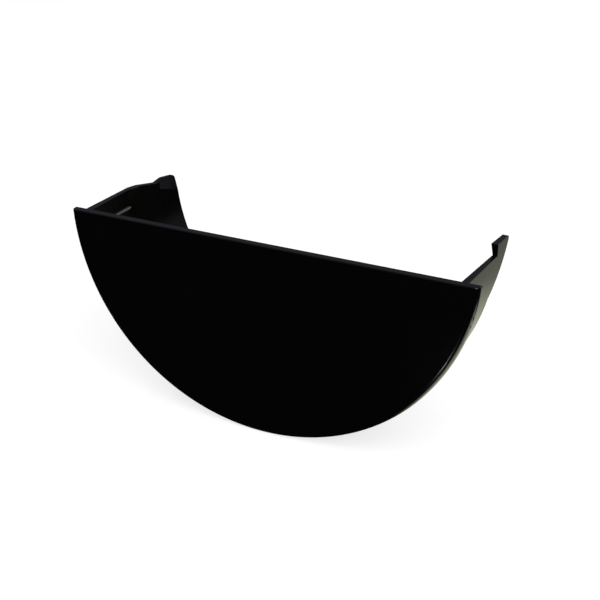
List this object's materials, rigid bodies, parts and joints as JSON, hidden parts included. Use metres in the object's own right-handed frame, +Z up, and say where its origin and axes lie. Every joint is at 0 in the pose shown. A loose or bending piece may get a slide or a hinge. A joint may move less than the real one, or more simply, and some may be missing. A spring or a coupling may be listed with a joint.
{
  "type": "gutter end cap",
  "caption": "Half-disc stop end for a half-round gutter, with a curved socket behind its plate and a clip on each side that holds the gutter's edges.",
  "frame": {"origin": "on the axis of the half-round socket, at the end plate's inner face, where the gutter's end stops", "axes": "+Y along the socket's axis, the way the gutter leaves; +Z up out of the open top; +X towards the short front clip"},
  "size_m": [0.125, 0.0475, 0.0607],
  "materials": {
    "black_upvc": "smooth moulded black, satin gloss"
  },
  "bodies": {
    "root": {"end_cap": "black_upvc"}
  },
  "joints": []
}
